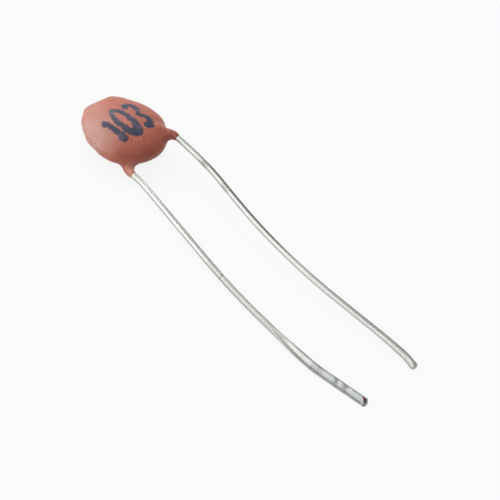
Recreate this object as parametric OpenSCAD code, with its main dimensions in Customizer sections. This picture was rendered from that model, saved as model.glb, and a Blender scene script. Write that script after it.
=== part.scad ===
// Ceramic disc capacitor with two radial wire leads, lying flat on its rear face.
// All lengths are in millimetres and all angles in degrees.
// The origin is where the crown of the rear face rests, +Z is up through the disc's axis and the
// leads run along +X, the front lead on the +Y side.

/* [Coated body] */
// Diameter of the coated body
coat_d = 7.0; // [6.8:0.1:7.6]
// Thickness of the coated body at its middle
coat_t = 2.6; // [2.4:0.1:3.2]
// Radius of the rounded rim
rim_r = 0.65; // [0.6:0.05:0.9]

/* [Skirts on the leads] */
// Distance from the body's axis to the tip of the front skirt
front_skirt_x = 3.3; // [3.2:0.1:4.0]
// Distance from the body's axis to the tip of the rear skirt
rear_skirt_x = 3.6; // [3.3:0.1:4.2]
// Thickness of the coating where a skirt ends on its lead
skirt_wall = 0.05; // [0.03:0.01:0.12]
// Length of the even sleeve that ends each skirt
sleeve_l = 0.2; // [0.1:0.05:0.6]
// Length that the sleeve follows the wire into the body, past its inner bend
sleeve_in = 1.7; // [1.5:0.1:1.9]
// Length of the flare from the sleeve into the body
flare_l = 1.6; // [1.3:0.1:2.0]
// Radius of the flare where it runs into the body
flare_r = 0.8; // [0.78:0.02:0.96]
// Turn of the flare towards the middle of the body
flare_yaw = 28; // [15:1:35]
// Dip of the flare towards the middle plane of the body
flare_dip = 14; // [12:1:16]

/* [Ceramic disc and electrodes] */
// Diameter of the ceramic disc
ceramic_d = 5.6; // [5.2:0.1:5.8]
// Thickness of the ceramic disc
ceramic_t = 0.6; // [0.4:0.05:0.7]
// Diameter of each silver electrode
electrode_d = 5.0; // [4.6:0.1:5.2]
// Thickness of each silver electrode
electrode_t = 0.04; // [0.03:0.01:0.06]

/* [Solder] */
// Thickness of the solder film under each wire
solder_film = 0.03; // [0.02:0.01:0.05]
// Cover of solder over the top of each wire
solder_cover = 0.05; // [0.03:0.01:0.06]
// Length of each solder bead
bead_l = 2.2; // [1.8:0.1:2.4]
// Greatest radius of each solder bead
bead_r = 0.7; // [0.6:0.05:0.75]
// Distance from the wire's inner end to the middle of its bead
bead_at = 0.7; // [0.5:0.1:1.0]

/* [Wire leads] */
// Diameter of the tinned wire
wire_d = 0.5; // [0.4:0.01:0.55]
// Spacing of the two leads where they leave the body
lead_pitch = 5.08; // [4.8:0.02:5.2]
// Inner bend of each wire towards the middle of its electrode
inner_turn = 34; // [25:1:45]
// Radius of the inner bend
inner_bend_r = 0.8; // [0.6:0.1:1.2]
// Straight wire from the inner bend to the inner end
inner_run = 2.5; // [2.0:0.1:2.8]
// Distance from a skirt's tip back to the inner bend
inner_bend_back = 0.25; // [0.2:0.05:0.5]
// Radius of the small dip with which each lead sets off down to the surface
dip_bend_r = 8; // [6:1:12]

/* [Front lead] */
// Straight from the skirt to the first bend
front_run_1 = 1.0; // [0.5:0.1:4]
// First bend
front_turn_1 = -10.8; // [-25:0.1:-2]
// Radius of the first bend
front_bend_r_1 = 20; // [10:1:40]
// Straight from the first bend to the second
front_run_2 = 1.8; // [0.5:0.1:5]
// Second bend
front_turn_2 = 16.3; // [2:0.1:25]
// Radius of the second bend
front_bend_r_2 = 40; // [15:1:50]
// Straight from the second bend to the third
front_run_3 = 3.0; // [0.5:0.1:6]
// Third bend
front_turn_3 = -5.6; // [-15:0.1:-2]
// Radius of the third bend
front_bend_r_3 = 30; // [10:1:50]
// Straight from the third bend to the hook near the tip
front_run_4 = 0.2; // [0.2:0.1:4]
// Hook near the tip
front_turn_4 = -11.5; // [-30:0.5:-2]
// Radius of the hook
front_bend_r_4 = 4; // [2:0.5:10]
// Straight at the tip
front_run_5 = 0.5; // [0.4:0.1:3]
// Height of the rounded end of the tip
tip_dome = 0.15; // [0.05:0.01:0.2]

/* [Rear lead] */
// Straight from the skirt to the first bend
rear_run_1 = 0.2; // [0.2:0.1:3]
// First bend
rear_turn_1 = -10.5; // [-25:0.5:-2]
// Radius of the first bend
rear_bend_r_1 = 6; // [4:1:40]
// Straight from the first bend to the second
rear_run_2 = 7.9; // [1:0.1:10]
// Second bend
rear_turn_2 = 10.2; // [2:0.1:25]
// Radius of the second bend
rear_bend_r_2 = 48; // [15:1:60]
// Straight from the second bend to the pressed stretch
rear_run_3 = 0.3; // [0.1:0.1:4]

/* [Pressed end of the rear lead] */
// Width of the pressed stretch
flat_w = 0.9; // [0.7:0.01:1.0]
// Thickness of the pressed stretch
flat_t = 0.24; // [0.2:0.01:0.3]
// Length over which the round wire turns into the flat
ramp_l = 1.6; // [1.0:0.1:2.4]
// Bend of the pressed stretch
flat_turn = 10.2; // [2:0.1:15]
// Radius of that bend
flat_bend_r = 10; // [8:1:50]
// Straight at the end of the pressed stretch
flat_run = 3.6; // [3.2:0.1:5]
// Distance of the first pinch mark from the end
pinch_1_at = 1.75; // [1.2:0.05:2.0]
// Distance of the second pinch mark from the end
pinch_2_at = 2.5; // [2.4:0.1:3.0]
// Depth of each pinch mark
pinch_depth = 0.05; // [0.02:0.01:0.08]
// Radius of the jaws' edge that made the pinch marks
pinch_r = 0.35; // [0.2:0.05:0.6]
// Slope of the sheared face, which leans back from its lower edge
shear_angle = 60; // [0:1:65]

/* [Hidden] */
$fn = 64;
$grow = 0;
FRONT = 1;
REAR = -1;

// Heights above the ceramic disc's middle plane, the same on both faces
electrode_top = ceramic_t / 2 + electrode_t;
wire_axis = electrode_top + solder_film + wire_d / 2;
bead_axis = electrode_top + solder_film + wire_d + solder_cover - bead_r;

// Circle of the body's crown, which runs tangent into the rim
rim_x = coat_d / 2 - rim_r;
crown_r = (rim_x^2 + (coat_t / 2)^2 - rim_r^2) / (coat_t - 2 * rim_r);
crown_z = coat_t / 2 - crown_r;
crown_ends_x = rim_x * crown_r / (crown_r - rim_r);

// A seam is a hair-thin collar that makes one solid of two stretches of wire
seam_l = 0.06;
seam_lap = 0.002;

// Each lead's stretches: run, turn and bend radius
inner_steps = [[inner_bend_back, inner_turn, inner_bend_r], [inner_run, 0, 0]];
front_steps = [
    [front_run_1, front_turn_1, front_bend_r_1],
    [front_run_2, front_turn_2, front_bend_r_2],
    [front_run_3, front_turn_3, front_bend_r_3],
    [front_run_4, front_turn_4, front_bend_r_4]];
rear_steps = [
    [rear_run_1, rear_turn_1, rear_bend_r_1],
    [rear_run_2, rear_turn_2, rear_bend_r_2],
    [rear_run_3, 0, 0]];
flat_steps = [
    [ramp_l, flat_turn, flat_bend_r],
    [flat_run, 0, 0]];

// Where a chain of stretches ends, as [x, y, heading]
function step_end(at, step) =
    let (run = step[0], turn = step[1], radius = step[2], heading = at[2],
         ahead = run + radius * sin(abs(turn)),
         aside = sign(turn) * radius * (1 - cos(turn)))
    [at[0] + ahead * cos(heading) - aside * sin(heading),
     at[1] + ahead * sin(heading) + aside * cos(heading),
     heading + turn];
function chain_end(steps, i = 0, at = [0, 0, 0]) =
    i == len(steps) ? at : chain_end(steps, i + 1, step_end(at, steps[i]));

// Slope that brings a lead down from its exit, past the dip bend, until its end lies on the surface
function slope(steps, drop) =
    let (ahead = chain_end(steps)[0])
    atan2(dip_bend_r, ahead) + asin((drop - dip_bend_r) / norm([ahead, dip_bend_r]));
front_slope = slope(concat(front_steps, [[front_run_5, 0, 0]]), coat_t / 2 + wire_axis - wire_d / 2);
rear_slope = slope(concat(rear_steps, flat_steps), coat_t / 2 - wire_axis - flat_t / 2);

// Stretches of wire: they start at the origin and head along +X
module round_section() circle(r = wire_d / 2 + $grow);

module flat_section() {
    square([flat_w - flat_t, flat_t + 2 * $grow], center = true);
    for (side = [-1, 1])
        translate([side * (flat_w - flat_t) / 2, 0]) circle(r = flat_t / 2 + $grow);
}

module straight(run)
    rotate([90, 0, 90]) linear_extrude(run) children();

module bend(turn, radius)
    mirror([0, turn < 0 ? 1 : 0, 0]) translate([0, radius, 0]) rotate([0, 0, -90])
        rotate_extrude(angle = abs(turn)) translate([radius, 0]) children();

module seam()
    translate([-seam_l / 2, 0, 0]) straight(seam_l, $grow = seam_lap) children();

module at_end(step) {
    end = step_end([0, 0, 0], step);
    translate([end[0], end[1], 0]) rotate([0, 0, end[2]]) children();
}

module wire(steps, i = 0) {
    step = steps[i];
    if (step[0] > 0) straight(step[0]) children();
    if (step[1] != 0) {
        translate([step[0], 0, 0]) {
            seam() children();
            bend(step[1], step[2]) children();
        }
        at_end(step) seam() children();
    }
    if (i + 1 < len(steps)) at_end(step) wire(steps, i + 1) children();
}

module after(steps) {
    end = chain_end(steps);
    translate([end[0], end[1], 0]) rotate([0, 0, end[2]]) children();
}

// Stands its children on one face of the ceramic disc, which is turned over for the rear
module on_face(face)
    translate([0, 0, coat_t / 2]) rotate([face == FRONT ? 0 : 180, 0, 0]) children();

// Coating: one dipped skin with a skirt down each lead
module body_profile() {
    intersection() {
        translate([0, crown_z]) circle(r = crown_r, $fn = 256);
        translate([0, -crown_z]) circle(r = crown_r, $fn = 256);
        translate([0, -coat_t / 2]) square([crown_ends_x, coat_t]);
    }
    translate([rim_x, 0]) circle(r = rim_r);
}

module flare_profile(tip_r) {
    hollow_r = ((flare_r - tip_r)^2 + flare_l^2) / (2 * (flare_r - tip_r));
    difference() {
        square([flare_r, flare_l]);
        translate([tip_r + hollow_r, flare_l]) circle(r = hollow_r, $fn = 128);
    }
}

module sleeve_section() circle(r = wire_d / 2 + skirt_wall + $grow);

// The sleeve clings to the wire all the way in, and the flare fills the corner beside it
module skirt(face, tip_x)
    on_face(face) {
        translate([tip_x, lead_pitch / 2, wire_axis]) rotate([0, 0, 180])
            wire([inner_steps[0], [sleeve_in, 0, 0]]) sleeve_section();
        translate([tip_x - sleeve_l, lead_pitch / 2, wire_axis])
            rotate([0, 0, flare_yaw]) rotate([0, 90 - flare_dip, 0])
                translate([0, 0, -flare_l]) rotate_extrude() flare_profile(wire_d / 2 + skirt_wall);
    }

module coating() color("#bf5b3f")
    difference() {
        union() {
            translate([0, 0, coat_t / 2]) rotate_extrude($fn = 128) body_profile();
            skirt(FRONT, front_skirt_x);
            skirt(REAR, rear_skirt_x);
        }
        ceramic_disc();
        front_electrode();
        rear_electrode();
        solder_bead(FRONT, front_skirt_x);
        solder_bead(REAR, rear_skirt_x);
        front_lead();
        rear_lead();
    }

// Ceramic disc and its two fired silver electrodes
module ceramic_disc() color("#d8cdb4")
    translate([0, 0, coat_t / 2]) cylinder(h = ceramic_t, d = ceramic_d, center = true);

module electrode(face)
    on_face(face) translate([0, 0, ceramic_t / 2]) cylinder(h = electrode_t, d = electrode_d);

module front_electrode() color("#c9c9c6") electrode(FRONT);

module rear_electrode() color("#c9c9c6") electrode(REAR);

// Solder: a bead that tapers along the wire, cut off flat where it wets the electrode
module bead_profile() {
    side_r = (bead_r^2 + (bead_l / 2)^2) / (2 * bead_r);
    intersection() {
        translate([bead_r - side_r, 0]) circle(r = side_r, $fn = 128);
        translate([0, -bead_l / 2]) square([bead_r, bead_l]);
    }
}

module solder_bead(face, tip_x)
    on_face(face) intersection() {
        translate([tip_x, lead_pitch / 2, bead_axis]) rotate([0, 0, 180]) after(inner_steps)
            translate([-bead_at, 0, 0]) rotate([0, 90, 0]) rotate_extrude() bead_profile();
        translate([0, 0, electrode_top]) cylinder(h = coat_t, d = coat_d);
    }

module solder(face, tip_x) color("#9a9d9f")
    difference() {
        solder_bead(face, tip_x);
        inner_wire(face, tip_x);
    }

module front_solder() solder(FRONT, front_skirt_x);

module rear_solder() solder(REAR, rear_skirt_x);

// Leads: the part inside the coating is the same for both
module inner_wire(face, tip_x)
    on_face(face) translate([tip_x, lead_pitch / 2, wire_axis]) rotate([0, 0, 180])
        wire(inner_steps) round_section();

// Carries its children down the lead's slope from the skirt's tip
module outside(face, tip_x, slope)
    translate([tip_x, face * lead_pitch / 2, coat_t / 2 + face * wire_axis]) {
        rotate([-90, 0, 0]) bend(slope, dip_bend_r) round_section();
        seam() round_section();
        translate([dip_bend_r * sin(slope), 0, -dip_bend_r * (1 - cos(slope))])
            rotate([0, slope, 0]) {
                seam() round_section();
                children();
            }
    }

module domed_tip() {
    dome_r = ((wire_d / 2)^2 + tip_dome^2) / (2 * tip_dome);
    seam() round_section();
    rotate([0, 90, 0]) rotate_extrude() {
        square([wire_d / 2, front_run_5]);
        intersection() {
            translate([0, front_run_5 + tip_dome - dome_r]) circle(r = dome_r);
            square([wire_d / 2, front_run_5 + tip_dome]);
        }
    }
}

module front_lead() color("#c6c8c5") {
    inner_wire(FRONT, front_skirt_x);
    outside(FRONT, front_skirt_x, front_slope) {
        wire(front_steps) round_section();
        after(front_steps) domed_tip();
    }
}

// The flat widens inside a cone while the round wire thins down inside a wedge
module press_ramp() {
    intersection() {
        straight(ramp_l) flat_section();
        rotate([0, 90, 0]) cylinder(h = ramp_l, r1 = 0.9 * wire_d / 2, r2 = 1.1 * flat_w / 2);
    }
    intersection() {
        straight(ramp_l) round_section();
        rotate([90, 0, 0]) linear_extrude(flat_w, center = true)
            polygon([[0, 0.55 * wire_d], [ramp_l, flat_t / 2], [ramp_l, -flat_t / 2], [0, -0.55 * wire_d]]);
    }
}

module press_marks() {
    for (at = [pinch_1_at, pinch_2_at], side = [-1, 1])
        translate([-at, 0, side * (flat_t / 2 + pinch_r - pinch_depth)])
            rotate([90, 0, 0]) cylinder(h = 2 * flat_w, r = pinch_r, center = true);
    translate([0, -flat_w, -flat_t / 2]) rotate([0, -shear_angle, 0]) translate([0, 0, -flat_w])
        cube(2 * flat_w);
}

module rear_lead() color("#c6c8c5") {
    inner_wire(REAR, rear_skirt_x);
    outside(REAR, rear_skirt_x, rear_slope) {
        wire(rear_steps) round_section();
        after(rear_steps) {
            seam() round_section();
            press_ramp();
            difference() {
                union() {
                    translate([ramp_l, 0, 0]) bend(flat_turn, flat_bend_r) flat_section();
                    translate([ramp_l, 0, 0]) seam() flat_section();
                    at_end(flat_steps[0]) wire([flat_steps[1]]) flat_section();
                    at_end(flat_steps[0]) seam() flat_section();
                }
                after(flat_steps) press_marks();
            }
        }
    }
}

coating();
ceramic_disc();
front_electrode();
rear_electrode();
front_solder();
rear_solder();
front_lead();
rear_lead();
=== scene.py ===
import math

import bpy
import numpy as np
from mathutils import Euler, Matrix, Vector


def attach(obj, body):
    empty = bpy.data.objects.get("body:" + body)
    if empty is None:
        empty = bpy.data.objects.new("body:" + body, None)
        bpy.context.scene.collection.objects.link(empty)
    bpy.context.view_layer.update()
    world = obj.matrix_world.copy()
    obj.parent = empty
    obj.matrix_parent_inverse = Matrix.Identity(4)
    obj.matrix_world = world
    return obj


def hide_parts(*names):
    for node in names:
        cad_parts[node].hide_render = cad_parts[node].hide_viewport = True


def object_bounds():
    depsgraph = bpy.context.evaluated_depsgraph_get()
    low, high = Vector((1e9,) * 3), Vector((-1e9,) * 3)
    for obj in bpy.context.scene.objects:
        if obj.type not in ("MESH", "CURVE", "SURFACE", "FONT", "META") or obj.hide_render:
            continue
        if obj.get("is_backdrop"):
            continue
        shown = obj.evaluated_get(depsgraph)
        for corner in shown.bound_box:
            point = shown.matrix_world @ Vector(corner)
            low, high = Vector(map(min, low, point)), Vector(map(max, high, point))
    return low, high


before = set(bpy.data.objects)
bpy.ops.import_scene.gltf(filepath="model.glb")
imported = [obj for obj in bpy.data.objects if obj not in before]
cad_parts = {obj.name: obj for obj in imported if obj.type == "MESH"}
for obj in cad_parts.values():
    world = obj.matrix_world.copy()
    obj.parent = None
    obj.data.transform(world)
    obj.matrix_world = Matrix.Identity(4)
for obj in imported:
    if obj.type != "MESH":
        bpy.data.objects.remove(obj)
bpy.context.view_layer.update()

# ---------------------------------------------------------------------------------------------
# Ceramic disc
# The dielectric: a pressed and sintered barium titanate disc, pale buff, matt and finely grained. It
# lies wholly inside the coating, so its CAD mesh is carried over and only gets its material.


# One millimetre in metres
MM = 0.001


def linear(code):
    """The linear colour of an sRGB hex code."""
    parts = [int(code[i:i + 2], 16) / 255 for i in (1, 3, 5)]
    return [c / 12.92 if c <= 0.04045 else ((c + 0.055) / 1.055) ** 2.4 for c in parts] + [1.0]


def add_node(tree, kind, inputs=None, **settings):
    """Adds one node with its settings, and gives each of its inputs a value or a link. A node given as a
    value links its first output."""
    node = tree.nodes.new(kind)
    for name, value in settings.items():
        setattr(node, name, value)
    for key, value in (inputs or {}).items():
        if isinstance(value, bpy.types.Node):
            value = value.outputs[0]
        if isinstance(value, bpy.types.NodeSocket):
            tree.links.new(value, node.inputs[key])
        else:
            node.inputs[key].default_value = value
    return node


def new_material(name):
    """An empty material and its node tree."""
    material = bpy.data.materials.new(name)
    material.use_nodes = True
    material.node_tree.nodes.clear()
    return material, material.node_tree


def grain(tree, size, detail):
    """Noise whose lumps are about size millimetres across, by the object's own coordinates."""
    place = add_node(tree, "ShaderNodeTexCoord").outputs["Object"]
    return add_node(tree, "ShaderNodeTexNoise", {"Vector": place, "Scale": 1 / (size * MM), "Detail": detail})


def give(node, material):
    """Gives a CAD node its material."""
    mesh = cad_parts[node].data
    mesh.materials.clear()
    mesh.materials.append(material)


# Sintered titanate: the pressed powder leaves a dry, matt face with an even grain, drawn coarser than
# the real one, which is too fine to show.
titanate, tree = new_material("sintered_titanate")
speckle = grain(tree, 0.12, 3.0)
share = add_node(tree, "ShaderNodeMapRange", {0: speckle, 1: 0.35, 2: 0.65})
colour = add_node(tree, "ShaderNodeMix", {0: share, 6: linear("#c9bc9e"), 7: linear("#ddd3ba")},
                  data_type="RGBA")
normal = add_node(tree, "ShaderNodeBump", {"Height": speckle, "Distance": 0.01 * MM, "Strength": 1.0})
shader = add_node(tree, "ShaderNodeBsdfPrincipled",
                  {"Base Color": colour.outputs[2], "Roughness": 0.8, "Normal": normal})
add_node(tree, "ShaderNodeOutputMaterial", {"Surface": shader})
give("ceramic_disc", titanate)

# ---------------------------------------------------------------------------------------------
# Silver electrodes
# Silver paste screened on both faces of the ceramic disc and fired: thin, matt and slightly porous.
# Both are hidden by the coating, so their CAD meshes are carried over.

# Fired silver: the sintered paste scatters light, so it is a dull white metal. Its pores are drawn
# coarser than real ones, which are too fine to show.
silver, tree = new_material("fired_silver_paste")
pores = grain(tree, 0.1, 3.0)
share = add_node(tree, "ShaderNodeMapRange", {0: pores, 1: 0.3, 2: 0.7})
colour = add_node(tree, "ShaderNodeMix", {0: share, 6: linear("#b9b8b3"), 7: linear("#d8d7d2")},
                  data_type="RGBA")
sheen = add_node(tree, "ShaderNodeMapRange", {0: pores, 1: 0.3, 2: 0.7, 3: 0.6, 4: 0.45})
normal = add_node(tree, "ShaderNodeBump", {"Height": pores, "Distance": 0.006 * MM, "Strength": 1.0})
shader = add_node(tree, "ShaderNodeBsdfPrincipled",
                  {"Base Color": colour.outputs[2], "Metallic": 1.0, "Roughness": sheen, "Normal": normal})
add_node(tree, "ShaderNodeOutputMaterial", {"Surface": shader})
give("front_electrode", silver)
give("rear_electrode", silver)

# ---------------------------------------------------------------------------------------------
# Wire leads
# Tinned copper wire, 0.5 mm thick, drawn and then dipped in molten tin. Each is soldered to its
# electrode, bends out of the disc at its rim and comes down to the surface it lies on.

# Sizes in millimetres. Steps are (run, turn in degrees, bend radius), laid end to end.
WIRE_RADIUS = 0.25
WIRE_SPACING = 5.08
BODY_MIDDLE = 1.3
WIRE_HEIGHT = 0.62
DIP_RADIUS = 8.0
DIP_POINTS = 8
INNER_STEPS = ((0.25, 34.0, 0.8), (2.5, 0.0, 0.0))
INNER_END_RINGS = (0.9, 0.5)
# The mesh: how far apart the rings of points lie along a wire, and how many points each has
RING_SPACING = 0.04
WIRE_SIDES = 48
# Degrees round a wire, from its left side over its top: where the painted shade on its left shoulder begins,
# is full, starts to fade and ends
LEFT_SHOULDER = (0, 40, 90, 118)


def chain(steps, bend_step=3.0):
    """Points of straight runs and bends laid end to end from the origin along X: (run, turn, radius) each."""
    points, at, heading = [np.zeros(2)], np.zeros(2), 0.0
    for run, turn, radius in steps:
        at = at + run * np.array([math.cos(heading), math.sin(heading)])
        points.append(at)
        if turn:
            side = math.copysign(1.0, turn)
            centre = at + side * radius * np.array([-math.sin(heading), math.cos(heading)])
            count = max(4, int(abs(turn) * radius / bend_step))
            for angle in heading + np.radians(turn) * np.arange(1, count + 1) / count:
                points.append(centre - side * radius * np.array([-math.sin(angle), math.cos(angle)]))
            at, heading = points[-1], heading + math.radians(turn)
    return np.array(points)


def lead_route(face, dip_x, steps, drop):
    """The middle line of a lead, from its end in the solder to its tip, in millimetres.
    face is 1 for the front and -1 for the rear, dip_x is where the lead starts to come down, and drop is
    how far its tip comes down."""
    inner = chain(INNER_STEPS)[::-1]
    height = BODY_MIDDLE + face * WIRE_HEIGHT
    side = face * WIRE_SPACING / 2
    route = [(dip_x - x, side - face * y, height) for x, y in inner]
    flat = chain(steps)
    ahead = flat[-1][0]
    slope = math.atan2(DIP_RADIUS, ahead) + math.asin((drop - DIP_RADIUS) / math.hypot(ahead, DIP_RADIUS))
    for angle in slope * np.arange(1, DIP_POINTS + 1) / DIP_POINTS:
        fall = DIP_RADIUS * (1 - math.cos(angle))
        route.append((dip_x + DIP_RADIUS * math.sin(angle), side, height - fall))
    start = route[-1]
    for x, y in flat[1:]:
        route.append((start[0] + x * math.cos(slope), start[1] + y, start[2] - x * math.sin(slope)))
    return np.array(route)


def add_input(group, name, kind, default=None):
    """Adds a named input to a geometry group."""
    socket = group.interface.new_socket(name, in_out="INPUT", socket_type=kind)
    if default is not None:
        socket.default_value = default


def drawn_wire_group():
    """Geometry nodes that sweep a round section along a curve and keep, for every point, how far it is
    along the wire, and where the wire's middle line and heading are."""
    group = bpy.data.node_groups.new("drawn_wire", "GeometryNodeTree")
    add_input(group, "Route", "NodeSocketGeometry")
    add_input(group, "Radius", "NodeSocketFloat", WIRE_RADIUS * MM)
    add_input(group, "Ring spacing", "NodeSocketFloat", RING_SPACING * MM)
    add_input(group, "Sides", "NodeSocketInt", WIRE_SIDES)
    add_input(group, "Material", "NodeSocketMaterial")
    group.interface.new_socket("Wire", in_out="OUTPUT", socket_type="NodeSocketGeometry")
    given = add_node(group, "NodeGroupInput").outputs
    route = add_node(group, "GeometryNodeResampleCurve",
                     {"Curve": given["Route"], "Length": given["Ring spacing"]}, mode="LENGTH")
    place = add_node(group, "GeometryNodeSplineParameter").outputs["Length"]
    middle = add_node(group, "GeometryNodeInputPosition")
    heading = add_node(group, "GeometryNodeInputTangent")
    for name, kind, value in (("along", "FLOAT", place), ("middle", "FLOAT_VECTOR", middle),
                              ("heading", "FLOAT_VECTOR", heading)):
        route = add_node(group, "GeometryNodeStoreNamedAttribute",
                         {"Geometry": route, "Name": name, "Value": value}, data_type=kind)
    section = add_node(group, "GeometryNodeCurvePrimitiveCircle",
                       {"Resolution": given["Sides"], "Radius": given["Radius"]})
    tube = add_node(group, "GeometryNodeCurveToMesh", {"Curve": route, "Profile Curve": section})
    smooth = add_node(group, "GeometryNodeSetShadeSmooth", {"Geometry": tube})
    whole = add_node(group, "GeometryNodeRealizeInstances", {"Geometry": smooth})
    coated = add_node(group, "GeometryNodeSetMaterial", {"Geometry": whole, "Material": given["Material"]})
    add_node(group, "NodeGroupOutput", {0: coated})
    return group


def swept_wire(name, route, group, material):
    """Sweeps the wire along its route. Returns its points, its faces, how far along each point is, and the
    middle line and heading beside it, in millimetres."""
    line = bpy.data.curves.new(name + "_route", "CURVE")
    line.dimensions = "3D"
    spline = line.splines.new("POLY")
    spline.points.add(len(route) - 1)
    for point, place in zip(spline.points, route):
        point.co = (*(place / 1000), 1.0)
    guide = bpy.data.objects.new(name + "_route", line)
    bpy.context.scene.collection.objects.link(guide)
    modifier = guide.modifiers.new("drawn_wire", "NODES")
    modifier.node_group = group
    given = {"Radius": WIRE_RADIUS * MM, "Material": material}
    for item in group.interface.items_tree:
        if item.in_out == "INPUT" and item.name in given:
            modifier[item.identifier] = given[item.name]
    mesh = bpy.data.meshes.new_from_object(guide.evaluated_get(bpy.context.evaluated_depsgraph_get()))

    def read(data, field, width):
        """A row of width numbers for each item of the data."""
        values = np.empty(len(data) * width)
        data.foreach_get(field, values)
        return values.reshape(-1, width)

    points = read(mesh.vertices, "co", 3) * 1000
    along = read(mesh.attributes["along"].data, "value", 1)[:, 0] * 1000
    middle = read(mesh.attributes["middle"].data, "vector", 3) * 1000
    heading = read(mesh.attributes["heading"].data, "vector", 3)
    faces = [tuple(face.vertices) for face in mesh.polygons]
    bpy.data.objects.remove(guide)
    bpy.data.curves.remove(line)
    bpy.data.meshes.remove(mesh)
    return points, faces, along, middle, heading


def hump(value, centre, width):
    """A smooth hump of height 1 round centre."""
    return np.exp(-((value - centre) / width) ** 2)


def smooth_step(value, start, end):
    """0 up to start and 1 from end on, with a smooth rise between them."""
    t = np.clip((value - start) / (end - start), 0.0, 1.0)
    return t * t * (3 - 2 * t)


def stretch(value, begin, full, fade, end):
    """0 up to begin, 1 between full and fade, and 0 again from end on."""
    return smooth_step(value, begin, full) * (1 - smooth_step(value, fade, end))


def open_rings(faces):
    """The rings of points at the open ends of a swept tube, each in order round the tube."""
    edges = {(a, b) for face in faces for a, b in zip(face, face[1:] + face[:1])}
    after = {b: a for a, b in edges if (b, a) not in edges}
    rings, left = [], set(after)
    while left:
        ring, at = [], min(left)
        while at in left:
            left.remove(at)
            ring.append(at)
            at = after[at]
        rings.append(ring)
    return rings


def close_end(points, faces, ring, outward, shares, bulge):
    """Fills an open ring with smaller rings and a middle point. Each smaller ring is a share of the open
    one, raised outward by bulge(share)."""
    centre = points[ring].mean(axis=0)
    last, added = list(ring), []
    for share in shares:
        spot = centre + (points[ring] - centre) * share + outward * bulge(share)
        new = list(range(len(points), len(points) + len(ring)))
        points = np.concatenate([points, spot])
        faces += list(zip(last, last[1:] + last[:1], new[1:] + new[:1], new))
        added += [share] * len(ring)
        last = new
    points = np.concatenate([points, [centre + outward * bulge(0.0)]])
    faces += [(a, b, len(points) - 1) for a, b in zip(last, last[1:] + last[:1])]
    return points, faces, np.array(added + [0.0])


def flat_end(share):
    """No bulge at all."""
    return 0.0


def new_piece(name, points, faces, material, values):
    """A smooth mesh object from points in millimetres, with its per-point values."""
    mesh = bpy.data.meshes.new(name)
    mesh.from_pydata((points / 1000).tolist(), [], [tuple(map(int, face)) for face in faces])
    mesh.polygons.foreach_set("use_smooth", [True] * len(mesh.polygons))
    for key, data in values.items():
        kept = mesh.attributes.new(key, "FLOAT", "POINT")
        kept.data.foreach_set("value", np.asarray(data, dtype=np.float32))
    mesh.materials.append(material)
    mesh.update()
    piece = bpy.data.objects.new(name, mesh)
    bpy.context.scene.collection.objects.link(piece)
    return piece


def make_lead(name, route, shape, tip_shares, tip_bulge, tip_copper=None):
    """A lead: swept along its route, shaped by shape(along, left, up), and closed at both ends.
    tip_copper gives the bare copper on the tip's face, from each point's share and height."""
    points, faces, along, middle, heading = swept_wire(name, route, wire_group, tinned)
    left = np.cross((0.0, 0.0, 1.0), heading)
    left /= np.linalg.norm(left, axis=1)[:, None]
    up = np.cross(heading, left)
    y = ((points - middle) * left).sum(axis=1)
    z = ((points - middle) * up).sum(axis=1)
    values = {key: np.zeros(len(points)) for key in ("dull", "tarnish", "burnish", "copper")}
    values.update(along=along, around=np.arctan2(z, y) * WIRE_RADIUS)
    y, z, ahead, marks = shape(along, y, z)
    values.update(marks)
    points = middle + left * y[:, None] + up * z[:, None] + heading * ahead[:, None]
    inner, tip = sorted(open_rings(faces), key=lambda ring: along[ring[0]])
    for ring, sign, shares, bulge, copper in ((inner, -1.0, INNER_END_RINGS, flat_end, None),
                                              (tip, 1.0, tip_shares, tip_bulge, tip_copper)):
        points, faces, added = close_end(points, faces, ring, sign * heading[ring[0]], shares, bulge)
        for key, data in values.items():
            more = np.append(np.tile(data[ring], len(shares)), data[ring].mean())
            if key == "copper" and copper:
                more = copper(added, points[-len(added):, 2])
            values[key] = np.concatenate([data, more])
    return new_piece(name, points, faces, tinned, values)


def wire_noise(tree, lay, round_wire, along_wire, detail):
    """Noise that follows the wire, in lumps per millimetre round it and along it."""
    place = add_node(tree, "ShaderNodeMapping", {"Vector": lay, "Scale": (round_wire, along_wire, 1.0)})
    return add_node(tree, "ShaderNodeTexNoise", {"Vector": place, "Scale": 1.0, "Detail": detail},
                    noise_dimensions="2D")


# Tinned copper, hot dipped: a soft white metal with faint draw marks along it, drawn coarser than real ones,
# which are too fine to show. Old flux and tool marks leave it dull and rougher, old flux stains are tarnished
# to a dark grey, and a sheared end shows bare copper, brown in blotches. The same dark grey is painted shade
# along the shoulders and edges, and a paler tint over the pressed strip is a painted highlight.
tinned, tree = new_material("hot_dipped_tin")
kept = {name: add_node(tree, "ShaderNodeAttribute", attribute_name=name).outputs["Fac"]
        for name in ("along", "around", "dull", "tarnish", "burnish", "copper")}
lay = add_node(tree, "ShaderNodeCombineXYZ", {0: kept["around"], 1: kept["along"]})
streaks = wire_noise(tree, lay, 9.0, 0.35, 3.0)
ripple = wire_noise(tree, lay, 1.5, 1.1, 2.0)
blotches = wire_noise(tree, lay, 5.0, 4.0, 4.0)
patches = add_node(tree, "ShaderNodeMapRange", {0: blotches, 1: 0.35, 2: 0.6})
dirt = add_node(tree, "ShaderNodeMath", {0: kept["dull"], 1: patches}, operation="MULTIPLY")
brown = add_node(tree, "ShaderNodeMapRange", {0: blotches, 1: 0.45, 2: 0.6})
core = add_node(tree, "ShaderNodeMix", {0: brown, 6: linear("#3d2d35"), 7: linear("#84423f")},
                data_type="RGBA")
share = add_node(tree, "ShaderNodeMapRange", {0: streaks, 1: 0.3, 2: 0.7})
colour = add_node(tree, "ShaderNodeMix", {0: share, 6: linear("#b9bbb7"), 7: linear("#c6c8c4")},
                  data_type="RGBA")
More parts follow.
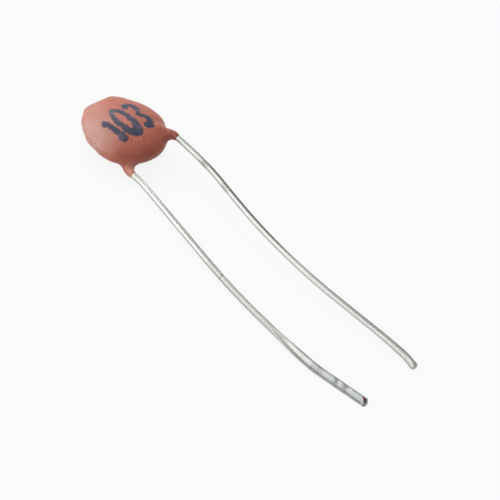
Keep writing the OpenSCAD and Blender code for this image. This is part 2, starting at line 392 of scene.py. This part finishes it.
# Laid over in turn: the painted highlight, tarnish with painted shade, dirt and bare copper
for share, tint in ((kept["burnish"], linear("#dbe1e2")), (kept["tarnish"], linear("#62605f")),
                    (dirt, linear("#9c9b97")), (kept["copper"], core.outputs[2])):
    colour = add_node(tree, "ShaderNodeMix", {0: share, 6: colour.outputs[2], 7: tint}, data_type="RGBA")
satin = add_node(tree, "ShaderNodeMapRange", {0: kept["burnish"], 1: 0.0, 2: 0.6, 3: 0.3, 4: 0.42})
rough = add_node(tree, "ShaderNodeMapRange", {0: dirt, 1: 0.0, 2: 1.0, 3: 0.0, 4: 0.3})
rub = add_node(tree, "ShaderNodeMath", {0: satin, 1: rough}, operation="ADD")
normal = add_node(tree, "ShaderNodeBump", {"Height": streaks, "Distance": 0.0006 * MM, "Strength": 0.4})
normal = add_node(tree, "ShaderNodeBump",
                  {"Height": ripple, "Distance": 0.006 * MM, "Strength": 0.5, "Normal": normal})
shader = add_node(tree, "ShaderNodeBsdfPrincipled",
                  {"Base Color": colour.outputs[2], "Metallic": 1.0, "Roughness": rub, "Normal": normal})
add_node(tree, "ShaderNodeOutputMaterial", {"Surface": shader})

wire_group = drawn_wire_group()

# ---------------------------------------------------------------------------------------------
# Front lead
# The tinned wire on the printed face's side, bent by hand so that it wavers, with a small hook and a rounded
# end. Old flux and tarnish mark it near the body, and painted shade darkens its left shoulder over most of
# its length.

FRONT_DIP_X = 3.3
FRONT_STEPS = ((1.0, -10.8, 20.0), (1.8, 16.3, 40.0), (3.0, -5.6, 30.0), (0.2, -11.5, 4.0), (0.5, 0.0, 0.0))
TIP_DOME = 0.22
TIP_SHARES = (0.97, 0.88, 0.7, 0.4)
# Marks by their middle and reach, or by where they begin, are full, start to fade and end, in mm from
# the wire's inner end
FLUX_LUMP = (6.3, 0.25)
FLUX_STAIN = (6.5, 0.35)
STAIN_TARNISH = (6.4, 0.4)
FLUX_SPILL = (8.4, 8.8, 9.5, 9.8)
SPILL_TARNISH = (8.5, 8.9, 9.3, 9.7)
# Painted shade along the left shoulder, in two overlapping stretches: where each begins, is full, starts to
# fade and ends
SHOULDER_SHADE = ((2.5, 4.0, 14.0, 18.0), (6.0, 7.0, 14.0, 18.0))
# Where the wire is thicker, by what share of its radius
LUMP_SWELL = 0.05
OUTER_SWELL, OUTER_FROM, OUTER_TO = 0.05, 16.0, 20.0
TIP_SWELL = 0.14
# Lengths back from the tip, over which it swells and dulls
TIP_SWELL_LENGTHS = (4.0, 0.5)
TIP_DULL_LENGTHS = (4.0, 1.5)
END_DULL_LENGTH = 0.3


def front_shape(along, y, z):
    """Round all the way and thicker towards its tip, still resting on the surface below it, with a lump and
    two patches of old flux, and painted shade along its left shoulder."""
    end = along.max()
    swell = 1 + LUMP_SWELL * hump(along, *FLUX_LUMP) * (z < 0)
    swell = swell + OUTER_SWELL * smooth_step(along, OUTER_FROM, OUTER_TO)
    swell = swell + TIP_SWELL * smooth_step(along, *(end - back for back in TIP_SWELL_LENGTHS))
    dull = hump(along, *FLUX_STAIN) + 0.6 * stretch(along, *FLUX_SPILL)
    dull = dull + 0.45 * smooth_step(along, *(end - back for back in TIP_DULL_LENGTHS))
    dull = dull + 0.4 * smooth_step(along, end - END_DULL_LENGTH, end)
    turn = np.degrees(np.arctan2(z, y))
    # Painted shade: the left shoulder is darkened where the wire shows a dark reflection
    tarnish = stretch(turn, *LEFT_SHOULDER) * 0.5 * sum(stretch(along, *reach) for reach in SHOULDER_SHADE)
    stains = 0.5 * hump(along, *STAIN_TARNISH) + 0.3 * stretch(along, *SPILL_TARNISH)
    lift = WIRE_RADIUS * (swell - 1)
    return y * swell, z * swell + lift, np.zeros_like(y), {"dull": np.clip(dull, 0, 1),
                                                            "tarnish": np.maximum(tarnish, stains)}


def tip_dome(share):
    """How far the rounded tip stands out, at that share of its radius."""
    return TIP_DOME * math.sqrt(max(0.0, 1 - share ** 2))


route = lead_route(1, FRONT_DIP_X, FRONT_STEPS, BODY_MIDDLE + WIRE_HEIGHT - WIRE_RADIUS)
front_wire = make_lead("front_lead_wire", route, front_shape, TIP_SHARES, tip_dome)
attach(front_wire, "root")
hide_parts("front_lead")

# ---------------------------------------------------------------------------------------------
# Rear lead
# The tinned wire on the other face's side. Pliers pressed its last stretch into a low ridge between
# two thin edges and pinched it twice, and cutters sheared its tip, where the copper core shows.

REAR_DIP_X = 3.6
# The stretch that the pliers pressed, from its inner end: a ramp, a bend sideways and a flat run. The
# press starts to tell a little before the ramp.
RAMP_LEAD = 2.2
RAMP_LENGTH = 1.6
PRESS_ANGLE, PRESS_BEND = 10.2, 10.0
FLAT_LENGTH = 3.6
REAR_STEPS = ((0.2, -10.5, 6.0), (7.9, 10.2, 48.0), (0.3, 0.0, 0.0), (RAMP_LENGTH, PRESS_ANGLE, PRESS_BEND),
              (FLAT_LENGTH, 0.0, 0.0))
# The pressed section: where its ridge starts, peaks and ends across the strip, and how square its
# edges are
FLAT_WIDTH = 0.9
FLAT_HALF = 0.12
EDGE_HALF = 0.05
EDGE_SQUARENESS = 6
RIDGE_HEIGHT = 0.25
RIDGE_RIGHT, RIDGE_TOP, RIDGE_LEFT = -0.22, 0.10, 0.34
# Halfway from round to pressed, the ridge is higher by a quarter of this share
RAMP_SWELL = 1.1
# Pinches by their distance from the tip and their reach, what share of the width they take and what
# share of the ridge
PINCHES = ((1.75, 0.20), (2.5, 0.17))
PINCH_NARROWING = 0.06
PINCH_DEPTH = 0.3
# The shear cut, which leans back, is rounded in plan and dragged the strip's end out a little
SHEAR_ANGLE = math.radians(60)
CUT_LENGTH = 0.6
CUT_ROUNDING = 0.14
DRAG, DRAG_LENGTH = 0.12, 3.0
CUT_SHARES = (0.95, 0.82, 0.72, 0.4)
CUT_RIM, CUT_HOLLOW = 0.8, 0.04
CORE_SHARE, CORE_LOW, CORE_HIGH = 0.96, 0.03, 0.07
# Marks by their middle and reach, or by where they begin, are full, start to fade and end, in mm from
# the wire's inner end
NICK = (14.5, 0.05)
NICK_DEPTH = 0.1
JAW_SCUFF = (23.6, 23.9, 24.5, 24.9)
# Painted shade, in mm from the wire's inner end: on its left shoulder where it begins, is full, starts to
# fade and ends, and on its edges from where it starts to where it is full
REAR_SHOULDER_SHADE = (6.0, 8.0, 13.0, 15.0)
SIDE_SHADE_FROM, SIDE_SHADE_TO = 11.0, 14.0
# Painted highlight: a paler tint from where it starts to where it is full, in mm from the wire's inner end
HIGHLIGHT_FROM, HIGHLIGHT_TO = 22.8, 24.5
# The ridge's lit front flank, across the strip, which the painted shade on the edges leaves out
LIT_FLANK = (RIDGE_RIGHT - 0.05, RIDGE_RIGHT + 0.05, RIDGE_TOP - 0.03, RIDGE_TOP + 0.05)


def rear_shape(along, y, z):
    """Round, then pressed over the last stretch into a ridge between two thin edges, with a nick, two
    pinches and a slanting cut."""
    end = along.max()
    start = end - FLAT_LENGTH - math.radians(PRESS_ANGLE) * PRESS_BEND - RAMP_LENGTH
    press = smooth_step(along, start - RAMP_LEAD, start + RAMP_LENGTH)
    pinch = sum(hump(along, end - back, reach) for back, reach in PINCHES)
    wide = y / WIRE_RADIUS * FLAT_WIDTH / 2 * (1 - PINCH_NARROWING * pinch)
    edge = np.sqrt(np.clip(1 - np.abs(wide / (FLAT_WIDTH / 2)) ** EDGE_SQUARENESS, 0, 1))
    rise = (wide - RIDGE_RIGHT) / (RIDGE_TOP - RIDGE_RIGHT)
    fall = (RIDGE_LEFT - wide) / (RIDGE_LEFT - RIDGE_TOP)
    ridge = RIDGE_HEIGHT * np.clip(np.minimum(rise, fall), 0, 1)
    ridge = ridge * (1 + RAMP_SWELL * press * (1 - press)) * (1 - PINCH_DEPTH * pinch)
    flat = -FLAT_HALF + EDGE_HALF + edge * np.where(z > 0, EDGE_HALF + ridge, -EDGE_HALF)
    y = y + (wide - y) * press
    z = z + (flat - z) * press
    nick = hump(along, *NICK)
    y = y * (1 - NICK_DEPTH * nick)
    z = z * (1 - NICK_DEPTH * nick)
    cut = np.clip((along - end + CUT_LENGTH) / CUT_LENGTH, 0, 1)
    ahead = DRAG * smooth_step(along, end - DRAG_LENGTH, end)
    ahead = ahead - cut * np.clip(z + FLAT_HALF, 0, None) * math.tan(SHEAR_ANGLE)
    ahead = ahead - CUT_ROUNDING * cut * (wide / FLAT_WIDTH * 2) ** 2
    dull = 0.7 * stretch(along, *JAW_SCUFF) + nick + 0.8 * pinch
    turn = np.degrees(np.arctan2(z, y))
    # Painted shade: the left shoulder, then both edges of the wire and of the pressed strip, darkened where
    # they show dark reflections, with only the lit front flank of the ridge left out. The nick is darker too.
    tarnish = 0.3 * stretch(turn, *LEFT_SHOULDER) * stretch(along, *REAR_SHOULDER_SHADE)
    painted_side_shade = 0.6 * smooth_step(along, SIDE_SHADE_FROM, SIDE_SHADE_TO)
    painted_side_shade = painted_side_shade + 0.4 * smooth_step(along, start - RAMP_LEAD - 1.0, start)
    painted_side_shade = painted_side_shade * (1 - smooth_step(along, end - 0.4, end - 0.1)) * (1 - stretch(wide, *LIT_FLANK))
    tarnish = tarnish + 0.4 * painted_side_shade + 0.6 * nick
    # Painted highlight: the pressed strip is tinted paler so that its highlight shows brighter
    burnish = 0.6 * smooth_step(along, HIGHLIGHT_FROM, HIGHLIGHT_TO) * (1 - 0.5 * dull)
    return y, z, ahead, {"dull": np.clip(dull, 0, 1), "tarnish": np.clip(tarnish, 0, 1), "burnish": burnish}


def cut_hollow(share):
    """How far the sheared face is sunk inside its rim, at that share of its width."""
    return -CUT_HOLLOW * max(0.0, CUT_RIM - share)


def bare_core(shares, heights):
    """The copper shows inside the cut's tinned rim, and above the tin that the cutters drew over it."""
    return (shares < CORE_SHARE) * smooth_step(heights, CORE_LOW, CORE_HIGH)


route = lead_route(-1, REAR_DIP_X, REAR_STEPS, BODY_MIDDLE - WIRE_HEIGHT - FLAT_HALF)
rear_wire = make_lead("rear_lead_wire", route, rear_shape, CUT_SHARES, cut_hollow, bare_core)
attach(rear_wire, "root")
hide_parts("rear_lead")

# ---------------------------------------------------------------------------------------------
# Solder
# A bead on each face, where the lead's inner end is soldered to its electrode. The coating hides both,
# so their CAD meshes are carried over.

# Frozen solder: smooth and bright, with a slight frost where it cooled.
solder, tree = new_material("frozen_solder")
frost = grain(tree, 0.2, 2.0)
colour = add_node(tree, "ShaderNodeMix", {0: frost, 6: linear("#8f9294"), 7: linear("#b0b3b4")},
                  data_type="RGBA")
sheen = add_node(tree, "ShaderNodeMapRange", {0: frost, 1: 0.3, 2: 0.7, 3: 0.2, 4: 0.4})
shader = add_node(tree, "ShaderNodeBsdfPrincipled",
                  {"Base Color": colour.outputs[2], "Metallic": 1.0, "Roughness": sheen})
add_node(tree, "ShaderNodeOutputMaterial", {"Surface": shader})
give("front_solder", solder)
give("rear_solder", solder)

# ---------------------------------------------------------------------------------------------
# Dipped coating
# The body's phenolic resin skin: the soldered disc is dipped in slurry with its leads up, dried and
# baked. The slurry clings to both leads in a flared skirt and leaves the outline a little uneven.

# Sizes in millimetres
BODY_RADIUS = 3.5
# Where the outline swells or draws in: angle in degrees, height, width in degrees
OUTLINE_SWELLS = ((0, -0.02, 18), (30, -0.04, 18), (75, 0.16, 11), (90, 0.13, 10), (103, 0.11, 9),
                  (116, 0.07, 9), (129, 0.03, 9), (142, 0.16, 9), (155, 0.22, 9), (168, 0.02, 9),
                  (180, -0.03, 8), (190, 0.05, 7), (200, 0.10, 7), (210, -0.02, 7), (220, -0.02, 7),
                  (231, -0.07, 8), (243, -0.13, 9), (256, 0.02, 9), (282, 0.12, 10), (300, 0.28, 14),
                  (330, 0.08, 18))
# From this radius outwards the outline's swells grow to their full height
SWELL_FROM, SWELL_REACH = 1.5, 2.0
# Each skirt's lip lies a little short of where its lead starts to come down
LIP_BACK = 0.08
FRONT_LIP_X = FRONT_DIP_X - LIP_BACK
REAR_LIP_X = REAR_DIP_X - LIP_BACK
# The balls that a skirt is drawn over: back from its lip, in from the wire's line, down from the wire
# to the body's middle, radius and flatness. The sleeve follows the wire into the body, and the web
# fills the corner beside it.
SLEEVE = ((0.0, 0.0, 0.0, 0.27, 1.0), (0.17, 0.0, 0.0, 0.285, 1.0), (0.40, 0.033, 0.0, 0.295, 1.0),
          (0.62, 0.14, 0.0, 0.305, 1.0), (1.45, 0.70, 0.02, 0.32, 1.0))
FRONT_WEB = ((0.32, 0.06, 0.02, 0.31, 1.0), (0.62, 0.20, 0.08, 0.44, 1.3), (1.32, 0.69, 0.32, 0.76, 1.6))
REAR_WEB = ((0.32, 0.06, 0.02, 0.31, 1.0), (0.62, 0.18, 0.08, 0.42, 1.3), (1.42, 0.74, 0.32, 0.74, 1.6))
# How far two skins run together: within a skirt, and where a skirt meets the body
SKIRT_BLEND, BODY_BLEND = 0.12, 0.5
# How far the whole skin rises and sinks
SKIN_WAVE = 0.006
GRID_LOW, GRID_HIGH = (-3.8, -3.8, -0.15), (4.1, 3.8, 2.8)
GRID_STEP = 0.06
# The print: the height above which it lies, the gap that stands for no ink at all, and how many
# corners draw the nought
PRINT_ABOVE = BODY_MIDDLE + 0.3
NO_INK = 9.0
NOUGHT_CORNERS = 25


def body_distance(p):
    """Distance to the dipped disc without its skirts: a lens as surface tension leaves it, domed on both
    faces."""
    x, y, z = p[..., 0], p[..., 1], p[..., 2]
    angle = np.degrees(np.arctan2(y, x))
    swell = sum(h * np.exp(-(((angle - a + 180) % 360 - 180) / w) ** 2) for a, h, w in OUTLINE_SWELLS)
    out = np.hypot(x, y)
    out = out - swell * np.clip((out - SWELL_FROM) / SWELL_REACH, 0, 1) ** 2
    up = z - BODY_MIDDLE
    share = np.hypot(out / BODY_RADIUS, up / BODY_MIDDLE)
    steepness = np.hypot(out / BODY_RADIUS ** 2, up / BODY_MIDDLE ** 2)
    return share * (share - 1) / np.maximum(steepness, 0.05)


def skirt_balls(face, lip_x, balls):
    """A skirt's balls in place, each with its radius and flatness, on the front face for 1 and on the
    rear for -1."""
    return [((lip_x - back, face * (WIRE_SPACING / 2 - inward), BODY_MIDDLE + face * (WIRE_HEIGHT - down)),
             radius, flatness) for back, inward, down, radius, flatness in balls]


def cone_distance(p, start, end):
    """Distance to a bar that grows from one ball to the next, where a ball may be pressed flat."""
    (a, r0, f0), (b, r1, f1) = start, end
    a, line = np.array(a), np.array(b) - np.array(a)
    share = np.clip(((p - a) @ line) / (line @ line), 0, 1)
    off = p - a - share[..., None] * line
    off[..., 2] *= f0 + (f1 - f0) * share
    return np.linalg.norm(off, axis=-1) - (r0 + (r1 - r0) * share)


def blend(a, b, reach):
    """The nearer of two skins, run together over reach millimetres as wet slurry does."""
    share = np.clip(0.5 + 0.5 * (b - a) / reach, 0, 1)
    return b + (a - b) * share - reach * share * (1 - share)


def skin_distance(p):
    """Distance to the whole skin: the body, its two skirts and a faint unevenness all over."""
    skin = body_distance(p)
    for face, lip_x, web in ((1, FRONT_LIP_X, FRONT_WEB), (-1, REAR_LIP_X, REAR_WEB)):
        skirt = None
        for balls in (skirt_balls(face, lip_x, SLEEVE), skirt_balls(face, lip_x, web)):
            for start, end in zip(balls[:-1], balls[1:]):
                bar = cone_distance(p, start, end)
                skirt = bar if skirt is None else blend(skirt, bar, SKIRT_BLEND)
        skin = blend(skin, skirt, BODY_BLEND)
    x, y, z = p[..., 0], p[..., 1], p[..., 2]
    wave = np.sin(1.9 * x + 0.7) * np.sin(2.3 * y - 0.4) * np.cos(1.3 * z)
    wave = wave + 0.6 * np.sin(3.7 * x - 1.1 * y + 1.0) * np.sin(3.1 * y + 0.3)
    return skin - SKIN_WAVE * wave


def settle(points, field, rounds=3, nudge=1e-3):
    """Moves points along the field's slope onto the surface where it is zero."""
    for _ in range(rounds):
        slope = np.stack([field(points + d) - field(points - d) for d in np.eye(3) * nudge], 1) / (2 * nudge)
        points = points - slope * (field(points) / np.maximum((slope ** 2).sum(1), 0.2))[:, None]
    return points


def surface_net(field, low, high, step):
    """A closed mesh of quads on the surface where field is zero, with outward faces. Each cell of the
    grid that the surface crosses gets one point, and each crossed edge joins its four cells."""
    axes = [np.arange(a, b + step, step) for a, b in zip(low, high)]
    depth = field(np.stack(np.meshgrid(*axes, indexing="ij"), -1))
    inside = depth < 0
    n = np.array(depth.shape) - 1
    corners = [(i, j, k) for i in (0, 1) for j in (0, 1) for k in (0, 1)]

    def at(values, c):
        """The values at one corner of every cell."""
        return values[c[0]:c[0] + n[0], c[1]:c[1] + n[1], c[2]:c[2] + n[2]]

    count = sum(at(inside, c).astype(int) for c in corners)
    active = (count > 0) & (count < 8)
    index = np.full(active.shape, -1)
    index[active] = np.arange(active.sum())
    base = np.argwhere(active).astype(float)
    total, hits = np.zeros_like(base), np.zeros(len(base))
    for a in corners:
        for axis in range(3):
            if a[axis]:
                continue
            b = list(a)
            b[axis] = 1
            va, vb = at(depth, a)[active], at(depth, b)[active]
            crossed = (va < 0) != (vb < 0)
            spot = base + np.array(a)
            spot[:, axis] += va / np.where(crossed, va - vb, 1)
            total[crossed] += spot[crossed]
            hits[crossed] += 1
    points = total / hits[:, None] * step + np.array(low)
    faces = []
    for axis in range(3):
        u, v = (axis + 1) % 3, (axis + 2) % 3
        lower, upper = [slice(None)] * 3, [slice(None)] * 3
        lower[axis], upper[axis] = slice(0, -1), slice(1, None)
        edges = np.argwhere(inside[tuple(lower)] != inside[tuple(upper)])
        edges = edges[(edges[:, u] > 0) & (edges[:, v] > 0)]

        def cell(du, dv):
            """The points of the cells that lie du and dv before the crossed edges."""
            c = edges.copy()
            c[:, u] -= du
            c[:, v] -= dv
            return index[tuple(c.T)]

        quads = np.stack([cell(1, 1), cell(0, 1), cell(0, 0), cell(1, 0)], 1)
        backward = ~inside[tuple(edges.T)]
        quads[backward] = quads[backward][:, ::-1]
        faces.append(quads)
    return settle(points, field), np.concatenate(faces)


def stroke_gap(p, line):
    """Distance in the plane from points to a drawn line of (x, y, half width) corners."""
    gap = np.full(len(p), NO_INK)
    for (x0, y0, r0), (x1, y1, r1) in zip(line[:-1], line[1:]):
        a, d = np.array([x0, y0]), np.array([x1 - x0, y1 - y0])
        share = np.clip(((p - a) @ d) / (d @ d), 0, 1)
        away = np.linalg.norm(p - a - share[:, None] * d, axis=1)
        gap = np.minimum(gap, away - (r0 + (r1 - r0) * share))
    return gap


def ink_strokes():
    """The plain figures 1, 0 and 3, stamped across the printed face and read along +Y."""
    one = [(-0.45, -2.12, 0.17), (-0.75, -1.82, 0.24), (0.2, -1.78, 0.26), (0.8, -1.74, 0.30),
           (1.30, -1.72, 0.37)]
    nought = [(0.10 + 1.38 * math.cos(t), -0.45 + 0.58 * math.sin(t), 0.31 + 0.08 * math.cos(t - 0.4))
              for t in np.linspace(0, 2 * math.pi, NOUGHT_CORNERS)]
    three = [(-1.10, 0.70, 0.27), (-1.35, 1.10, 0.27), (-0.95, 1.60, 0.31), (-0.35, 1.48, 0.27),
             (0.0, 1.16, 0.24), (0.35, 1.50, 0.28), (0.9, 1.66, 0.32), (1.35, 1.30, 0.31),
             (1.27, 0.82, 0.27)]
    return one, nought, three


points, faces = surface_net(skin_distance, GRID_LOW, GRID_HIGH, GRID_STEP)
ink_gap = np.min([stroke_gap(points[:, :2], line) for line in ink_strokes()], axis=0)
ink_gap[points[:, 2] < PRINT_ABOVE] = NO_INK
front_lip = np.hypot(points[:, 0] - FRONT_LIP_X, points[:, 1] - WIRE_SPACING / 2)
rear_lip = np.hypot(points[:, 0] - REAR_LIP_X, points[:, 1] + WIRE_SPACING / 2)

# Baked phenolic resin: an eggshell terracotta skin with fine mottling from its mineral filler and a
# faint orange peel. The filler's grains are drawn coarser than real ones, which are too fine to show.
# Painted shade deepens the skin to a darker red towards the leads and round the front lip, and a painted
# highlight paints the rear lip pale. A painted sheen, a whitish veil flecked by the grain, lies on the side
# away from the leads. The stamped ink is a film with ragged edges, dense in places and worn thin in others.
resin, tree = new_material("baked_phenolic_resin")
kept = {name: add_node(tree, "ShaderNodeAttribute", attribute_name=name).outputs["Fac"]
        for name in ("ink_gap", "front_lip", "rear_lip")}
place = add_node(tree, "ShaderNodeTexCoord").outputs["Object"]
along_x = add_node(tree, "ShaderNodeSeparateXYZ", {0: place})
clouds = grain(tree, 1.6, 3.0)
mottle = grain(tree, 0.34, 4.0)
speck = grain(tree, 0.12, 2.0)
share = add_node(tree, "ShaderNodeMapRange", {0: clouds, 1: 0.3, 2: 0.7})
colour = add_node(tree, "ShaderNodeMix", {0: share, 6: linear("#b05a45"), 7: linear("#bb624b")},
                  data_type="RGBA")
# Each tint over it: what it goes by, two values of that, the tint's share at each of them, its colour
for value, low, high, share_low, share_high, tint in (
        (mottle, 0.35, 0.65, 0.0, 0.75, "#c0664e"),
        (speck, 0.52, 0.72, 0.0, 0.4, "#8a3e33"),
        (speck, 0.46, 0.32, 0.0, 0.35, "#cf8a78"),
        # painted shade: a deeper red towards the leads, on the side turned from the lamps
        (along_x, 0.0021, 0.0034, 0.0, 0.6, "#953d2f"),
        # painted shade: darker round the front lip
        (kept["front_lip"], 0.4, 1.6, 0.45, 0.0, "#8e3f34"),
        # painted highlight: the rear lip's sheen, painted pale
        (kept["rear_lip"], 0.3, 0.85, 0.75, 0.0, "#dc9a84")):
    share = add_node(tree, "ShaderNodeMapRange", {0: value, 1: low, 2: high, 3: share_low, 4: share_high})
    colour = add_node(tree, "ShaderNodeMix", {0: share, 6: colour.outputs[2], 7: linear(tint)},
                      data_type="RGBA")
# Each patch of painted sheen, a whitish veil over the side away from the leads: its middle, how far it is
# full and where it ends, in metres, and its strength
sheen_speckle = add_node(tree, "ShaderNodeMapRange", {0: speck, 1: 0.3, 2: 0.7, 3: 0.15, 4: 1.85})
for middle, full, none, strength in (((-0.0008, -0.0032, 0.0015), 0.0010, 0.0028, 0.46),
                                     ((-0.0028, -0.0010, 0.0016), 0.0002, 0.0016, 0.34)):
    away = add_node(tree, "ShaderNodeVectorMath", {0: place, 1: middle}, operation="DISTANCE")
    patch = add_node(tree, "ShaderNodeMapRange",
                     {0: away.outputs["Value"], 1: full, 2: none, 3: strength, 4: 0.0})
    painted_sheen = add_node(tree, "ShaderNodeMath", {0: patch, 1: sheen_speckle}, operation="MULTIPLY")
    colour = add_node(tree, "ShaderNodeMix", {0: painted_sheen, 6: colour.outputs[2], 7: linear("#c3aba2")},
                      data_type="RGBA")
waver = add_node(tree, "ShaderNodeMapRange", {0: grain(tree, 0.45, 3.0), 1: 0.3, 2: 0.7, 3: -0.12, 4: 0.12})
ragged = add_node(tree, "ShaderNodeMath", {0: kept["ink_gap"], 1: waver}, operation="ADD")
inked = add_node(tree, "ShaderNodeMapRange", {0: ragged, 1: 0.06, 2: -0.06})
wear = add_node(tree, "ShaderNodeMapRange", {0: grain(tree, 0.9, 3.0), 1: 0.5, 2: 0.72, 3: 0.0, 4: 0.6})
ink = add_node(tree, "ShaderNodeMix", {0: wear, 6: linear("#222142"), 7: linear("#7b6c74")}, data_type="RGBA")
colour = add_node(tree, "ShaderNodeMix", {0: inked, 6: colour.outputs[2], 7: ink.outputs[2]},
                  data_type="RGBA")
sheen = add_node(tree, "ShaderNodeMapRange", {0: mottle, 1: 0.3, 2: 0.7, 3: 0.50, 4: 0.42})
peel = add_node(tree, "ShaderNodeBump",
                {"Height": grain(tree, 0.6, 2.0), "Distance": 0.03 * MM, "Strength": 0.6})
normal = add_node(tree, "ShaderNodeBump",
                  {"Height": mottle, "Distance": 0.016 * MM, "Strength": 0.8, "Normal": peel})
normal = add_node(tree, "ShaderNodeBump",
                  {"Height": speck, "Distance": 0.019 * MM, "Strength": 1.0, "Normal": normal})
shader = add_node(tree, "ShaderNodeBsdfPrincipled",
                  {"Base Color": colour.outputs[2], "Roughness": sheen, "IOR": 1.55, "Normal": normal})
add_node(tree, "ShaderNodeOutputMaterial", {"Surface": shader})

coating = new_piece("dipped_coating", points, faces.tolist(), resin,
                    {"ink_gap": ink_gap, "front_lip": front_lip, "rear_lip": rear_lip})
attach(coating, "root")
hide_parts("coating")

# ---------------------------------------------------------------------------------------------
# Studio
# A floor of pale paper, turned up all round its border, under a soft grey sky. Soft lamps stand round
# the left side, low in front and overhead, and a card in front shows only in reflections.

# The floor's flat part and its turned-up border, in metres from the middle, and the border's height
FLOOR_HALF, BORDER_HALF, BORDER_HEIGHT = 1.2, 1.4, 0.35
# How much of the paper the camera and reflections see as plain white
FLOOR_WASH = 0.88
CORNERS = ((-1, -1), (1, -1), (1, 1), (-1, 1))
floor_points = [(FLOOR_HALF * x, FLOOR_HALF * y, 0) for x, y in CORNERS]
floor_points += [(BORDER_HALF * x, BORDER_HALF * y, BORDER_HEIGHT) for x, y in CORNERS]
floor_faces = [(0, 1, 2, 3)] + [(i, 4 + i, 4 + (i + 1) % 4, (i + 1) % 4) for i in range(4)]
floor_mesh = bpy.data.meshes.new("floor")
floor_mesh.from_pydata(floor_points, [], floor_faces)
floor = bpy.data.objects.new("floor", floor_mesh)
bpy.context.scene.collection.objects.link(floor)

# Matt paper, which the camera and reflections see washed out to almost white, with its shadows kept faint.
paper, tree = new_material("studio_paper")
shader = add_node(tree, "ShaderNodeBsdfPrincipled", {"Base Color": linear("#e7e7e7"), "Roughness": 0.9})
rays = add_node(tree, "ShaderNodeLightPath").outputs
seen = add_node(tree, "ShaderNodeMath", {0: rays["Is Camera Ray"], 1: rays["Is Glossy Ray"]}, operation="ADD")
seen = add_node(tree, "ShaderNodeMath", {0: seen, 1: rays["Is Transmission Ray"]}, operation="ADD",
                use_clamp=True)
wash = add_node(tree, "ShaderNodeMath", {0: seen, 1: FLOOR_WASH}, operation="MULTIPLY")
white = add_node(tree, "ShaderNodeEmission", {"Color": (1.0, 1.0, 1.0, 1.0), "Strength": 1.0})
washed = add_node(tree, "ShaderNodeMixShader", {0: wash, 1: shader, 2: white})
add_node(tree, "ShaderNodeOutputMaterial", {"Surface": washed})
floor_mesh.materials.append(paper)
floor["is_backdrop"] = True

# The sky: dark up to a little above the horizon, and from there rising to an even grey
world = bpy.data.worlds.new("studio")
bpy.context.scene.world = world
world.use_nodes = True
tree = world.node_tree
tree.nodes.clear()
direction = add_node(tree, "ShaderNodeTexCoord").outputs["Generated"]
height = add_node(tree, "ShaderNodeSeparateXYZ", {0: direction}).outputs[2]
grey = add_node(tree, "ShaderNodeMapRange", {0: height, 1: 0.1, 2: 0.25, 3: 0.0, 4: 0.39})
sky = add_node(tree, "ShaderNodeBackground", {"Color": grey, "Strength": 1.0})
add_node(tree, "ShaderNodeOutputWorld", {"Surface": sky})

# What the lamps face: a point between the two leads, just beyond the body, in metres
LAMP_AIM = (0.008, 0.0, 0.0)


def softbox(name, place, width, height, radiance):
    """A rectangular lamp that faces the part and glows evenly at the given radiance."""
    lamp = bpy.data.lights.new(name, "AREA")
    lamp.shape, lamp.size, lamp.size_y = "RECTANGLE", width, height
    lamp.energy = radiance * math.pi * width * height
    box = bpy.data.objects.new(name, lamp)
    bpy.context.scene.collection.objects.link(box)
    box.location = place
    x, y, z = np.array(place) - np.array(LAMP_AIM)
    box.rotation_euler = Euler((math.atan2(math.hypot(x, y), z), 0, math.atan2(x, -y)))
    return box


softbox("key_softbox", (-0.258, -0.011, 0.227), 0.34, 0.12, 2.2)
softbox("left_softbox", (-0.295, -0.12, 0.115), 0.30, 0.16, 2.5)
softbox("left_back_softbox", (-0.202, 0.175, 0.217), 0.24, 0.20, 2.3)
softbox("low_front_softbox", (-0.097, -0.326, 0.07), 0.44, 0.12, 1.7)
softbox("overhead_softbox", (-0.045, 0.0, 0.336), 0.30, 0.12, 1.0)
front_card = softbox("front_card", (-0.097, -0.231, 0.241), 0.44, 0.20, 1.6)
front_card.visible_diffuse = False

# ---------------------------------------------------------------------------------------------
# Camera
# A long lens close to the part, looking down across it from beside the leads, and rolled so that the
# leads run down to the right.

# Where it stands, in metres, and its turns about X, Y and Z, in degrees
CAMERA_PLACE = (0.03793, -0.0580036, 0.0587186)
CAMERA_TURNS = (44.25997, -17.60542, 39.66312)
LENS, SENSOR_WIDTH = 80.97, 36.0
camera_data = bpy.data.cameras.new("camera")
camera_data.lens = LENS
camera_data.sensor_width = SENSOR_WIDTH
camera_data.clip_start = 0.001
camera_data.clip_end = 50.0
camera = bpy.data.objects.new("camera", camera_data)
bpy.context.scene.collection.objects.link(camera)
camera.location = CAMERA_PLACE
camera.rotation_euler = [math.radians(turn) for turn in CAMERA_TURNS]
bpy.context.scene.camera = camera
bpy.context.scene.view_settings.view_transform = "Standard"

low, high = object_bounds()
